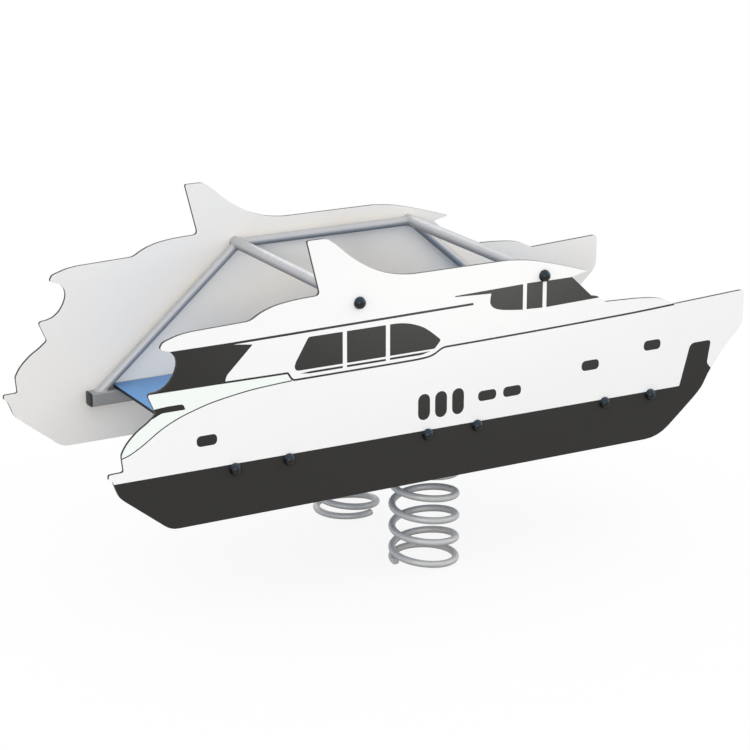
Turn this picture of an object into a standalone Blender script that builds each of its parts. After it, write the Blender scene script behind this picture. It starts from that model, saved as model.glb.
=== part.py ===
"""Spring rider in the shape of a motor yacht.

Two milled laminate side panels are bolted to a welded steel frame. The frame carries a
laminate deck and stands on two coil springs, side by side under its middle.

Units are metres. +X points to the bow, +Y to port and +Z up. The origin is on the ground,
midway between the panels and midway along them.
"""

import math

import bmesh
import bpy
from mathutils import Matrix, Vector

# Clearance kept between two meshes that touch
SEAT = 0.0003

# Coil springs
SPRING_X = 0.017
SPRING_Y = 0.233
WIRE_DIAMETER = 0.020
COIL_RADIUS = 0.091
COIL_PITCH = 0.0658
RISING_TURNS = 5.91
FOOT_TURNS = 0.62
HEAD_TURNS = 0.5
FOOT_START_DEG = {"starboard": 168.0, "port": 282.0}
POINTS_PER_TURN = 10
WIRE_SIDES = 6
GROUND_FLAT = WIRE_DIAMETER / 10

# Square-tube frame
PANEL_GAP = 0.750
RAIL_SIZE = 0.040
RAIL_WALL = 0.003
RAIL_CORNER = 0.005
RAIL_OVERHANG = 0.183
FRAME_X = 0.017
END_CAP_THICKNESS = 0.004
END_CAP_PLUG = 0.018
STATION_SPACING = 0.582
BEARER_SPACING = 0.170

# Spring head plates and the clamps under them
HEAD_PLATE_THICKNESS = 0.006
HEAD_PLATE_WIDTH = 0.190
HEAD_PLATE_CORNER = 0.012
CLAMP_TURNS = (0.05, 0.25, 0.45)
CLAMP_WIDTH = 0.030
CLAMP_THICKNESS = 0.006
CLAMP_BOLT_RADIUS_FROM_AXIS = 0.050
CLAMP_TAB_REACH = 0.018
CLAMP_LIP_REACH = 0.004
CLAMP_BOLT_DIAMETER = 0.012
CLAMP_BOLT_HEAD_WIDTH = 0.018
CLAMP_BOLT_HEAD_HEIGHT = 0.0075
CLAMP_BOLT_END = 0.003

# Round-tube handrails
HANDRAIL_DIAMETER = 0.0337
SIDE_TUBE_DIAMETER = 0.0269
TUBE_WALL = 0.003
HANDRAIL_SPACING = 0.579
HANDRAIL_RISE = 0.401
DIAGONAL_FOOT_INSET = 0.036
HANDRAIL_PLUG = 0.020

# Deck
DECK_THICKNESS = 0.010
DECK_FOOT_GAP = 0.010
DECK_SIDE_GAP = 0.002
DECK_CORNER = 0.006
DECK_BOLT_Y = 0.200
DECK_BOLT_DIAMETER = 0.008
DECK_BOLT_DEPTH = 0.006
DECK_BOLT_HEAD_WIDTH = 0.013
DECK_BOLT_HEAD_HEIGHT = 0.0053

# Side panels
PANEL_LENGTH = 2.000
PANEL_THICKNESS = 0.010
MILLING_DEPTH = 0.0008
MILLING_STEP = 0.00005
PANEL_BOLT_HEIGHT = 0.1345
BOLT_PAIR_SPACING = 0.158
PANEL_BOLT_DIAMETER = 0.010
PANEL_BOLT_REACH = 0.014
CAP_DIAMETER = 0.034
CAP_HEIGHT = 0.019
HOLE_CLEARANCE = 0.0005

# The rider rocks on its springs about this height
ROCK_AXIS_HEIGHT_SHARE = 0.5

# Heights that follow from what stands on what
wire_radius = WIRE_DIAMETER / 2
wire_flat = wire_radius * math.cos(math.pi / WIRE_SIDES)
foot_wire_z = wire_radius - GROUND_FLAT
head_wire_z = foot_wire_z + RISING_TURNS * COIL_PITCH
spring_top_z = head_wire_z + wire_flat
head_plate_z = spring_top_z + SEAT
rail_bottom_z = head_plate_z + HEAD_PLATE_THICKNESS + SEAT
rail_mid_z = rail_bottom_z + RAIL_SIZE / 2
rail_top_z = rail_bottom_z + RAIL_SIZE
deck_bottom_z = rail_top_z + SEAT
panel_bottom_z = rail_mid_z - PANEL_BOLT_HEIGHT
handrail_z = rail_mid_z + HANDRAIL_RISE
rock_axis_z = spring_top_z * ROCK_AXIS_HEIGHT_SHARE

# Lengths along the boat
rail_length = 2 * (STATION_SPACING + RAIL_OVERHANG)
diagonal_run = rail_length / 2 - DIAGONAL_FOOT_INSET - HANDRAIL_SPACING / 2
diagonal_slope = math.atan2(handrail_z - rail_top_z, diagonal_run)
foot_half_length = SIDE_TUBE_DIAMETER / 2 / math.sin(diagonal_slope)
foot_lean = DECK_THICKNESS / math.tan(diagonal_slope)
foot_inner_end = HANDRAIL_SPACING / 2 + diagonal_run - foot_half_length - foot_lean
deck_length = 2 * (foot_inner_end - DECK_FOOT_GAP)

# The wire is drawn in straight lengths, whose ends and middles lie either side of its circle
bend_radius = COIL_RADIUS * 2 / (1 + math.cos(math.pi / POINTS_PER_TURN))
length_middle_radius = bend_radius * math.cos(math.pi / POINTS_PER_TURN)

# Places across the boat
panel_inner_y = PANEL_GAP / 2
panel_outer_y = panel_inner_y + PANEL_THICKNESS
rail_outer_y = panel_inner_y - SEAT
rail_inner_y = rail_outer_y - RAIL_SIZE
rail_mid_y = rail_outer_y - RAIL_SIZE / 2

# Places along the boat
station_x = (FRAME_X - STATION_SPACING, FRAME_X, FRAME_X + STATION_SPACING)
bearer_x = {
    "aft": station_x[0],
    "mid_aft": SPRING_X - BEARER_SPACING / 2,
    "mid_fore": SPRING_X + BEARER_SPACING / 2,
    "fore": station_x[2],
}
handrail_x = {"aft": FRAME_X - HANDRAIL_SPACING / 2, "fore": FRAME_X + HANDRAIL_SPACING / 2}

SIDES = {"starboard": -1, "port": 1}

# The panels' drawing is in millimetres for handrails this high above the rails' middle
DRAWN_HANDRAIL_RISE = 401

# Panel outline: along the boat from its middle, and up from the panel's lower edge.
# Each corner is (x, z, rounding), followed by the points of a smooth curve to the next one.
PANEL_OUTLINE = [
    [(-998.5, 165, 4)],
    [(-996.5, 177, 4)],
    [(-956, 178, 7)],
    [(-961, 224, 8), (-945.5, 250), (-914.5, 280), (-884, 300)],
    [(-861.5, 318.5, 6)],
    [(-886, 375, 12), (-846, 382), (-818, 404), (-802, 438), (-804, 462)],
    [(-818, 478.5, 3)],
    [(-847, 488.5, 7), (-839, 504.3), (-820, 511.5), (-795, 518.8)],
    [(-760, 523.4, 0)],
    [(-592, 528.5, 12), (-560, 546.5), (-520, 559.5), (-480, 565.5), (-440, 568.5)],
    [(-388, 570, 16)],
    [(-425.5, 721, 7)],
    [(-368, 721, 12), (-340, 700.5), (-300, 666), (-260, 638.5), (-220, 617.5), (-172, 601.5), (-120, 593.5)],
    [(-80, 592.5, 0)],
    [(190, 592.5, 0), (262, 583.5), (347, 562)],
    [(450, 531, 5)],
    [(399, 519.5, 3)],
    [(467, 456, 3)],
    [(489, 451.5, 3)],
    [(512, 432.5, 8), (560, 430.5), (630, 427), (700, 417.5)],
    [(756, 394, 4)],
    [(1000, 404.5, 14)],
    [(999.5, 299, 26), (950, 254), (915, 212), (883, 168), (859, 127), (800, 73)],
    [(712, -0.5, 46)],
    [(-829, -2, 22)],
    [(-969, 109, 16)],
    [(-986.5, 156, 3)],
]

# Milled areas, drawn as the outline is
HULL_BAND = [
    [(-1040, -40, 0)],
    [(-1040, 150, 0)],
    [(780.5, 144, 3)],
    [(815, 268.5, 16)],
    [(888, 268.5, 12)],
    [(876.5, 200, 8)],
    [(920, 150, 0)],
    [(1040, -40, 0)],
]
COCKPIT = [
    [(-920, 374, 0)],
    [(-920, 479.5, 0)],
    [(-650, 479.5, 0)],
    [(-643, 473.5, 0)],
    [(-586, 465.8, 3)],
    [(-663, 392, 8)],
    [(-667, 372.2, 2)],
]
SALOON_WINDOWS = [
    [
        [(-424, 463, 6)],
        [(-322.5, 463, 2)],
        [(-322.5, 374.8, 2)],
        [(-453, 374.8, 0), (-462, 378), (-465.5, 387)],
        [(-462, 399.5, 0)],
    ],
    [[(-310, 463, 2)], [(-192, 463, 2)], [(-192, 374.8, 2)], [(-310, 374.8, 2)]],
    [
        [(-179.5, 463, 2), (-150, 462.3), (-114, 455.5), (-75, 440), (-47, 420)],
        [(-21, 397.5, 6)],
        [(-41, 375.5, 4)],
        [(-179.5, 375.2, 2)],
    ],
]
BRIDGE_WINDOWS = [
    [
        [(22, 514.5, 0)],
        [(238.5, 520, 2)],
        [(239, 446.8, 2), (200, 451.2), (165, 457), (143, 466), (133, 481)],
        [(136.5, 506.5, 2)],
        [(22, 511.5, 0)],
    ],
    [[(251, 520.5, 2)], [(303, 520.5, 2)], [(303, 444.3, 2)], [(251, 446.8, 2)]],
    [
        [(315.5, 519.5, 2)],
        [(402, 519.5, 0)],
        [(440, 519.5, 0)],
        [(495, 456, 0)],
        [(489, 448, 0)],
        [(315.5, 444, 2)],
    ],
]
STERN_FLASH = [
    [(-900, 328, 0)],
    [(-866, 333, 0), (-830, 335.3)],
    [(-786, 335, 8)],
    [(-780.5, 319.3, 3)],
    [(-846, 319.3, 5)],
    [(-872, 308, 0)],
    [(-900, 310, 0)],
]
PORTHOLE_SIZE = (58.5, 29.5)
PORTHOLE_ROUNDING = 12
PORTHOLE_CENTRES = [(-722, 226), (128, 217.5), (209, 217), (468, 253.5), (679.5, 282.5)]
VENT_SIZE = (37.6, 74.6)
VENT_ROUNDING = 18.5
VENT_CENTRES = [(-73, 214.5), (-19.5, 214.5), (34.5, 214.5)]
ROOF_LINE_WIDTH = 0.0065
DECK_LINE_WIDTH = 0.0055
FINE_LINE_WIDTH = 0.0032
ROOF_LINE = [[(-660, 476.2, 0)], [(80, 484.7, 0)]]
DECK_LINE = [
    [(-690, 375, 0)],
    [(-485.5, 373, 3)],
    [(-472, 351, 9)],
    [(-170, 352, 0), (-82, 353.5), (-47, 358.5)],
    [(-15, 375.8, 12), (100, 377.2), (300, 380.5), (500, 384.8), (620, 388)],
    [(752, 393.5, 0)],
]
SHEER_CURVE = [
    [
        (-985, 211, 0),
        (-963, 214.5),
        (-940, 221),
        (-900, 242.5),
        (-850, 275.3),
        (-800, 298.8),
        (-750, 315),
        (-700, 327.5),
        (-600, 342.5),
        (-520, 348.3),
    ],
    [(-474, 350.5, 0)],
]
SILL_STRIPS = [
    [[(-449, 366, 0)], [(-420, 368.6, 4)], [(-322.5, 368.8, 0)], [(-322.5, 362.8, 0)], [(-420, 362.6, 4)]],
    [[(-310, 369, 0)], [(-192, 369, 0)], [(-192, 363, 0)], [(-310, 363, 0)]],
    [[(-179.5, 369.8, 0)], [(-54, 370.5, 0)], [(-80, 363.8, 8)], [(-179.5, 363.8, 0)]],
]

# Scales that bring the drawing to the panels' length and the handrails' height
drawn_ends = [row[0][0] for row in PANEL_OUTLINE]
drawing_x = PANEL_LENGTH / (max(drawn_ends) - min(drawn_ends))
drawing_z = HANDRAIL_RISE / DRAWN_HANDRAIL_RISE

# How finely curves are cut into straight edges
CURVE_STEP = 0.014
CORNER_STEPS = 4
ROUND_SIDES = 16
HOLE_SIDES = 12


def make_material(name, colour, roughness, metallic=0.0):
    material = bpy.data.materials.new(name)
    material.use_nodes = True
    shader = material.node_tree.nodes["Principled BSDF"]
    shader.inputs["Base Color"].default_value = (*colour, 1.0)
    shader.inputs["Roughness"].default_value = roughness
    shader.inputs["Metallic"].default_value = metallic
    return material


def clear_scene():
    for item in list(bpy.data.objects):
        bpy.data.objects.remove(item, do_unlink=True)


def add_object(name, mesh, material, pivot=None, smooth=False):
    """Link a mesh as a named object, centred on its own origin."""
    corners = [vertex.co for vertex in mesh.vertices]
    centre = (
        Vector(map(min, zip(*corners))) + Vector(map(max, zip(*corners)))
    ) / 2
    mesh.transform(Matrix.Translation(-centre))
    item = bpy.data.objects.new(name, mesh)
    item.location = centre
    if material:
        mesh.materials.append(material)
    if smooth:
        mesh.shade_smooth()
        mesh.set_sharp_from_angle(angle=math.radians(40))
    bpy.context.collection.objects.link(item)
    if pivot:
        item.parent = pivot
        item.matrix_parent_inverse = Matrix.Translation(-pivot.location)
    return item


def mesh_from_loops(name, loops):
    """Skin a solid over loops that all have the same number of points."""
    shape = bmesh.new()
    rings = [[shape.verts.new(point) for point in loop] for loop in loops]
    for lower, upper in zip(rings, rings[1:]):
        for n in range(len(lower)):
            after = (n + 1) % len(lower)
            shape.faces.new((lower[n], lower[after], upper[after], upper[n]))
    shape.faces.new(list(reversed(rings[0])))
    shape.faces.new(rings[-1])
    bmesh.ops.recalc_face_normals(shape, faces=shape.faces)
    mesh = bpy.data.meshes.new(name)
    shape.to_mesh(mesh)
    shape.free()
    return mesh


def mesh_from_hollow(name, outer_loops, inner_loops):
    """Skin an open-ended tube with a wall between its outer and inner loops."""
    shape = bmesh.new()
    outer = [[shape.verts.new(point) for point in loop] for loop in outer_loops]
    inner = [[shape.verts.new(point) for point in loop] for loop in inner_loops]
    circuit = outer + list(reversed(inner))
    for lower, upper in zip(circuit, circuit[1:] + circuit[:1]):
        for n in range(len(lower)):
            after = (n + 1) % len(lower)
            shape.faces.new((lower[n], lower[after], upper[after], upper[n]))
    bmesh.ops.recalc_face_normals(shape, faces=shape.faces)
    mesh = bpy.data.meshes.new(name)
    shape.to_mesh(mesh)
    shape.free()
    return mesh


def circle(radius, sides=ROUND_SIDES):
    """Points of a circle in a plane, first and second coordinate."""
    turns = [2 * math.pi * n / sides for n in range(sides)]
    return [(radius * math.cos(a), radius * math.sin(a)) for a in turns]


def hexagon(across_flats):
    """A hexagon with a point at each corner and each middle of a side, to match a round hole's."""
    points = []
    for n in range(HOLE_SIDES):
        reach = across_flats / 2
        if n % 2 == 0:
            reach /= math.cos(math.pi / 6)
        angle = 2 * math.pi * n / HOLE_SIDES
        points.append((reach * math.cos(angle), reach * math.sin(angle)))
    return points


def rounded_rectangle(width, height, radius, steps=3):
    """Points round a rectangle with arc corners, centred on zero."""
    points = []
    for n in range(4):
        quarter = math.pi / 2 * n
        x_sign = 1 if n in (0, 3) else -1
        y_sign = 1 if n in (0, 1) else -1
        centre = (x_sign * (width / 2 - radius), y_sign * (height / 2 - radius))
        for step in range(steps + 1):
            angle = quarter + math.pi / 2 * step / steps
            points.append(
                (centre[0] + radius * math.cos(angle), centre[1] + radius * math.sin(angle))
            )
    return points


def along(axis, points, place, origin):
    """Lift flat points into space, square to an axis through the origin, at a place on it."""
    x, y, z = origin
    if axis == "X":
        return [Vector((place, y + a, z + b)) for a, b in points]
    if axis == "Y":
        return [Vector((x + b, place, z + a)) for a, b in points]
    return [Vector((x + a, y + b, place)) for a, b in points]


def smooth_points(knots):
    """A curve through the knots, as points no further apart than the curve step."""
    ends = [2 * knots[0] - knots[1], *knots, 2 * knots[-1] - knots[-2]]
    points = [knots[0]]
    for before, start, end, after in zip(ends, ends[1:], ends[2:], ends[3:]):
        reach = (end - start).length
        start_pull = (end - before).normalized() * reach
        end_pull = (after - start).normalized() * reach
        steps = max(2, round(reach / CURVE_STEP))
        for n in range(1, steps + 1):
            t = n / steps
            points.append(
                (2 * t**3 - 3 * t**2 + 1) * start
                + (t**3 - 2 * t**2 + t) * start_pull
                + (3 * t**2 - 2 * t**3) * end
                + (t**3 - t**2) * end_pull
            )
    return points


def trim(points, reach):
    """Cut a length off the start of a run of points."""
    points = list(points)
    while reach > 0 and len(points) > 2 and (points[1] - points[0]).length <= reach:
        reach -= (points[1] - points[0]).length
        points.pop(0)
    step = points[1] - points[0]
    if reach > 0 and step.length > reach:
        points[0] = points[0] + step.normalized() * reach
    return points


def from_drawing(x, z):
    """A point of the panels' drawing, at its real place along the boat and above the panel's edge."""
    return Vector((x * drawing_x, z * drawing_z))


def path_points(rows, closed=True):
    """Turn the drawing's rows of corners and curve points into one run of points."""
    corners = [from_drawing(*row[0][:2]) for row in rows]
    roundings = [row[0][2] * drawing_x for row in rows]
    count = len(rows)
    runs = []
    for n in range(count if closed else count - 1):
        after = (n + 1) % count
        knots = [corners[n], *(from_drawing(*point) for point in rows[n][1:]), corners[after]]
        run = smooth_points(knots) if len(knots) > 2 else knots
        run = trim(run, roundings[n])
        run = list(reversed(trim(list(reversed(run)), roundings[after])))
        runs.append(run)
    points = [] if closed else [runs[0][0]]
    for n, run in enumerate(runs):
        if closed or n > 0:
            points += corner_arc(runs[n - 1][-1], corners[n], run[0], roundings[n])
        points += run[1:-1]
    if not closed:
        points.append(runs[-1][-1])
    return points


def corner_arc(start, corner, end, rounding):
    """The rounded corner between two runs, or the corner itself where it's sharp."""
    if rounding <= 0:
        return [corner]
    points = []
    for n in range(CORNER_STEPS + 1):
        t = n / CORNER_STEPS
        points.append((1 - t) ** 2 * start + 2 * t * (1 - t) * corner + t**2 * end)
    return points


def ribbon(points, width):
    """The closed outline of a line of the given width along a run of points."""
    left = []
    right = []
    for n, point in enumerate(points):
        before = points[max(n - 1, 0)]
        after = points[min(n + 1, len(points) - 1)]
        direction = (after - before).normalized()
        aside = Vector((-direction.y, direction.x)) * width / 2
        left.append(point + aside)
        right.append(point - aside)
    return left + list(reversed(right))


def plate_mesh(name, outlines, y_low, y_high):
    """Upright plates cut to outlines drawn along the boat and up from the panel's edge."""
    shape = bmesh.new()
    for outline in outlines:
        sides = []
        for y in (y_low, y_high):
            sides.append([shape.verts.new((p.x, y, panel_bottom_z + p.y)) for p in outline])
        for n in range(len(outline)):
            after = (n + 1) % len(outline)
            shape.faces.new((sides[0][n], sides[0][after], sides[1][after], sides[1][n]))
        shape.faces.new(list(reversed(sides[0])))
        shape.faces.new(sides[1])
    bmesh.ops.recalc_face_normals(shape, faces=shape.faces)
    mesh = bpy.data.meshes.new(name)
    shape.to_mesh(mesh)
    shape.free()
    return mesh


def add_cutter(name, mesh):
    cutter = add_object(name, mesh, None)
    cutter.hide_render = True
    cutter.display_type = "WIRE"
    return cutter


def cut(item, cutter):
    modifier = item.modifiers.new(cutter.name, "BOOLEAN")
    modifier.operation = "DIFFERENCE"
    modifier.object = cutter


def block_mesh(name, low, high):
    loops = []
    for z in (low[2], high[2]):
        loops.append([(low[0], low[1], z), (high[0], low[1], z), (high[0], high[1], z), (low[0], high[1], z)])
    return mesh_from_loops(name, loops)


def rod_mesh(name, start, end, radius, sides=ROUND_SIDES):
    """A solid round bar between two points."""
    start = Vector(start)
    end = Vector(end)
    turn = (end - start).to_track_quat("Z", "Y")
    loops = []
    for place in (start, end):
        loops.append([place + turn @ Vector((a, b, 0)) for a, b in circle(radius, sides)])
    return mesh_from_loops(name, loops)


def pipe_mesh(name, start, end, radius, wall, sides=ROUND_SIDES):
    """A round tube between two points."""
    start = Vector(start)
    end = Vector(end)
    turn = (end - start).to_track_quat("Z", "Y")
    skins = []
    for reach in (radius, radius - wall):
        loops = []
        for place in (start, end):
            loops.append([place + turn @ Vector((a, b, 0)) for a, b in circle(reach, sides)])
        skins.append(loops)
    return mesh_from_hollow(name, *skins)


def wire_path(angle_deg):
    """The centre line of a spring's wire, about its axis, with its foot starting at an angle."""
    start = math.radians(angle_deg)
    turns = FOOT_TURNS + RISING_TURNS + HEAD_TURNS
    count = round(turns * POINTS_PER_TURN)
    points = []
    for n in range(count + 1):
        points.append(wire_point(start, turns * n / count))
    lead_in = (points[0] - points[1]).normalized() * WIRE_DIAMETER
    lead_out = (points[-1] - points[-2]).normalized() * WIRE_DIAMETER
    return [points[0] + lead_in, *points, points[-1] + lead_out]


def wire_point(start, turn):
    """A point of the wire after some turns: flat at the foot, rising, and flat at the head."""
    angle = start - 2 * math.pi * turn
    risen = min(max(turn - FOOT_TURNS, 0), RISING_TURNS)
    return Vector(
        (
            bend_radius * math.cos(angle),
            bend_radius * math.sin(angle),
            foot_wire_z + risen * COIL_PITCH,
        )
    )


def least_wire_gap():
    """The least gap between the wire and itself, measured on points along it."""
    fine = 40
    turns = FOOT_TURNS + RISING_TURNS + HEAD_TURNS
    count = round(turns * fine)
    points = [wire_point(0, turns * n / count) for n in range(count + 1)]
    least = math.inf
    for n, point in enumerate(points):
        for other in points[n + fine // 2 :]:
            least = min(least, (other - point).length)
    return least - WIRE_DIAMETER


def spring_mesh(name, x, y, angle_deg):
    path = wire_path(angle_deg)
    loops = []
    for n, point in enumerate(path):
        before = path[max(n - 1, 0)]
        after = path[min(n + 1, len(path) - 1)]
        forward = (after - before).normalized()
        outward = Vector((point.x, point.y, 0))
        outward = (outward - outward.dot(forward) * forward).normalized()
        upward = forward.cross(outward)
        loops.append(
            [
                point + Vector((x, y, 0)) + outward * a + upward * b
                for a, b in circle(wire_radius, WIRE_SIDES)
            ]
        )
    return mesh_from_loops(name, loops)


def build_springs(steel):
    """Two left-hand coil springs, each cut flat where it stands on the ground."""
    reach_x = 2 * COIL_RADIUS
    reach_y = SPRING_Y + 2 * COIL_RADIUS
    low = (SPRING_X - reach_x, -reach_y, -WIRE_DIAMETER)
    high = (SPRING_X + reach_x, reach_y, 0)
    ground = add_cutter("ground_cutter", block_mesh("ground_cutter", low, high))
    for side, sign in SIDES.items():
        name = f"{side}_spring"
        mesh = spring_mesh(name, SPRING_X, sign * SPRING_Y, FOOT_START_DEG[side])
        spring = add_object(name, mesh, steel, smooth=True)
        cut(spring, ground)
    print(f"Least gap between a spring's turns: {least_wire_gap():.4f} m")


def build_rails(steel, pivot):
    """The two square rails along the hull, with a hole behind each panel bolt."""
    start = FRAME_X - rail_length / 2
    end = FRAME_X + rail_length / 2
    outer = rounded_rectangle(RAIL_SIZE, RAIL_SIZE, RAIL_CORNER)
    bore = RAIL_SIZE - 2 * RAIL_WALL
    inner = rounded_rectangle(bore, bore, RAIL_CORNER - RAIL_WALL)
    for side, sign in SIDES.items():
        origin = (0, sign * rail_mid_y, rail_mid_z)
        skins = []
        for points in (outer, inner):
            skins.append([along("X", points, place, origin) for place in (start, end)])
        name = f"{side}_rail"
        rail = add_object(name, mesh_from_hollow(name, *skins), steel, pivot)
        for n, (x, z) in enumerate(rail_bolt_places()):
            hole = rod_mesh(
                f"{side}_rail_hole_{n + 1}",
                (x, sign * (rail_outer_y - 2 * RAIL_WALL), z),
                (x, sign * panel_inner_y, z),
                PANEL_BOLT_DIAMETER / 2 + HOLE_CLEARANCE,
                HOLE_SIDES,
            )
            cut(rail, add_cutter(hole.name, hole))


def build_rail_end_caps(plastic, pivot):
    """Push-in plastic caps that close the rails' ends."""
    face = rounded_rectangle(RAIL_SIZE, RAIL_SIZE, RAIL_CORNER)
    bore = RAIL_SIZE - 2 * RAIL_WALL - 2 * SEAT
    plug = rounded_rectangle(bore, bore, RAIL_CORNER - RAIL_WALL)
    for side, sign in SIDES.items():
        origin = (0, sign * rail_mid_y, rail_mid_z)
        for end, direction in (("aft", -1), ("fore", 1)):
            seat = FRAME_X + direction * (rail_length / 2 + SEAT)
            loops = [
                along("X", plug, seat - direction * END_CAP_PLUG, origin),
                along("X", plug, seat, origin),
                along("X", face, seat, origin),
                along("X", face, seat + direction * END_CAP_THICKNESS, origin),
            ]
            name = f"{side}_rail_cap_{end}"
            add_object(name, mesh_from_loops(name, loops), plastic, pivot)


def build_bearers(steel, pivot):
    """Square tubes welded across, between the two rails."""
    outer = rounded_rectangle(RAIL_SIZE, RAIL_SIZE, RAIL_CORNER)
    bore = RAIL_SIZE - 2 * RAIL_WALL
    inner = rounded_rectangle(bore, bore, RAIL_CORNER - RAIL_WALL)
    reach = rail_inner_y - SEAT
    for place, x in bearer_x.items():
        origin = (x, 0, rail_mid_z)
        skins = []
        for points in (outer, inner):
            skins.append([along("Y", points, y, origin) for y in (-reach, reach)])
        name = f"bearer_{place}"
        bearer = add_object(name, mesh_from_hollow(name, *skins), steel, pivot)
        if place in ("aft", "fore"):
            for side, sign in SIDES.items():
                hole = rod_mesh(
                    f"{name}_hole_{side}",
                    (x, sign * DECK_BOLT_Y, rail_bottom_z - RAIL_WALL),
                    (x, sign * DECK_BOLT_Y, rail_top_z + RAIL_WALL),
                    DECK_BOLT_DIAMETER / 2 + HOLE_CLEARANCE,
                    HOLE_SIDES,
                )
                cut(bearer, add_cutter(hole.name, hole))


def clamp_angles(side):
    """The directions of a spring's clamps, along its flat top turn."""
    flat_from = FOOT_TURNS + RISING_TURNS
    return [FOOT_START_DEG[side] - 360 * (flat_from + turn) for turn in CLAMP_TURNS]


def build_head_plates(steel, pivot):
    """The plate on top of each spring, welded under the two middle bearers."""
    length = BEARER_SPACING + RAIL_SIZE
    outline = rounded_rectangle(length, HEAD_PLATE_WIDTH, HEAD_PLATE_CORNER)
    for side, sign in SIDES.items():
        origin = (SPRING_X, sign * SPRING_Y, 0)
        loops = []
        for z in (head_plate_z, head_plate_z + HEAD_PLATE_THICKNESS):
            loops.append(along("Z", outline, z, origin))
        name = f"{side}_head_plate"
        plate = add_object(name, mesh_from_loops(name, loops), steel, pivot)
        for n, (x, y) in enumerate(clamp_bolt_places(side)):
            hole = rod_mesh(
                f"{name}_hole_{n + 1}",
                (x, y, head_plate_z - 2 * HEAD_PLATE_THICKNESS),
                (x, y, head_plate_z + 2 * HEAD_PLATE_THICKNESS),
                CLAMP_BOLT_DIAMETER / 2 + HOLE_CLEARANCE,
                HOLE_SIDES,
            )
            cut(plate, add_cutter(hole.name, hole))


def clamp_bolt_places(side):
    places = []
    for angle_deg in clamp_angles(side):
        angle = math.radians(angle_deg)
        x = SPRING_X + CLAMP_BOLT_RADIUS_FROM_AXIS * math.cos(angle)
        y = SIDES[side] * SPRING_Y + CLAMP_BOLT_RADIUS_FROM_AXIS * math.sin(angle)
        places.append((x, y))
    return places


def clamp_profile():
    """The bent strip that holds the wire up: out from the spring's axis, and up."""
    top = head_plate_z - SEAT
    wall_out = length_middle_radius - wire_radius - SEAT
    wall_in = wall_out - CLAMP_THICKNESS
    lip_top = head_wire_z - wire_flat - SEAT
    lip_bottom = lip_top - CLAMP_THICKNESS
    tab_in = CLAMP_BOLT_RADIUS_FROM_AXIS - CLAMP_TAB_REACH
    lip_out = length_middle_radius + CLAMP_LIP_REACH
    return [
        (tab_in, top),
        (wall_out, top),
        (wall_out, lip_top),
        (lip_out, lip_top),
        (lip_out, lip_bottom),
        (wall_in, lip_bottom),
        (wall_in, top - CLAMP_THICKNESS),
        (tab_in, top - CLAMP_THICKNESS),
    ]


def build_clamps(steel, pivot):
    """Bent strips that hold each spring's top turn to its head plate, with their bolts."""
    for side, sign in SIDES.items():
        for n, angle_deg in enumerate(clamp_angles(side)):
            angle = math.radians(angle_deg)
            outward = Vector((math.cos(angle), math.sin(angle), 0))
            aside = Vector((-math.sin(angle), math.cos(angle), 0))
            axis = Vector((SPRING_X, sign * SPRING_Y, 0))
            loops = []
            for shift in (-CLAMP_WIDTH / 2, CLAMP_WIDTH / 2):
                loop = []
                for reach, z in clamp_profile():
                    loop.append(axis + outward * reach + aside * shift + Vector((0, 0, z)))
                loops.append(loop)
            name = f"{side}_clamp_{n + 1}"
            clamp = add_object(name, mesh_from_loops(name, loops), steel, pivot)
            x, y = clamp_bolt_places(side)[n]
            hole = rod_mesh(
                f"{name}_hole",
                (x, y, head_plate_z - 4 * CLAMP_THICKNESS),
                (x, y, head_plate_z + CLAMP_THICKNESS),
                CLAMP_BOLT_DIAMETER / 2 + HOLE_CLEARANCE,
                HOLE_SIDES,
            )
            cut(clamp, add_cutter(hole.name, hole))
            build_clamp_bolt(f"{side}_clamp_bolt_{n + 1}", x, y, steel, pivot)


def build_clamp_bolt(name, x, y, steel, pivot):
    """A hexagon bolt up through clamp and head plate, with its nut on top."""
    head = hexagon(CLAMP_BOLT_HEAD_WIDTH)
    shank = circle(CLAMP_BOLT_DIAMETER / 2, HOLE_SIDES)
    clamp_under = head_plate_z - SEAT - CLAMP_THICKNESS - SEAT
    plate_top = head_plate_z + HEAD_PLATE_THICKNESS + SEAT
    nut_top = plate_top + CLAMP_BOLT_HEAD_HEIGHT
    levels = [
        (head, clamp_under - CLAMP_BOLT_HEAD_HEIGHT),
        (head, clamp_under),
        (shank, clamp_under),
        (shank, plate_top),
        (head, plate_top),
        (head, nut_top),
        (shank, nut_top),
        (shank, nut_top + CLAMP_BOLT_END),
    ]
    loops = [along("Z", points, z, (x, y, 0)) for points, z in levels]
    add_object(name, mesh_from_loops(name, loops), steel, pivot)


def build_handrails(steel, pivot):
    """The thick round tubes across the boat, plugged at both ends for the panel bolts."""
    radius = HANDRAIL_DIAMETER / 2
    bore = radius - TUBE_WALL
    thread = PANEL_BOLT_DIAMETER / 2 + HOLE_CLEARANCE
    end = panel_inner_y - SEAT
    plug = end - HANDRAIL_PLUG
    for place, x in handrail_x.items():
        origin = (x, 0, handrail_z)
        outer = [along("Y", circle(radius), y, origin) for y in (-end, end)]
        inner = []
        steps = ((thread, -end), (thread, -plug), (bore, -plug))
        steps += tuple((reach, -y) for reach, y in reversed(steps))
        for reach, y in steps:
            inner.append(along("Y", circle(reach), y, origin))
        name = f"handrail_{place}"
        add_object(name, mesh_from_hollow(name, outer, inner), steel, pivot, smooth=True)


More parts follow.
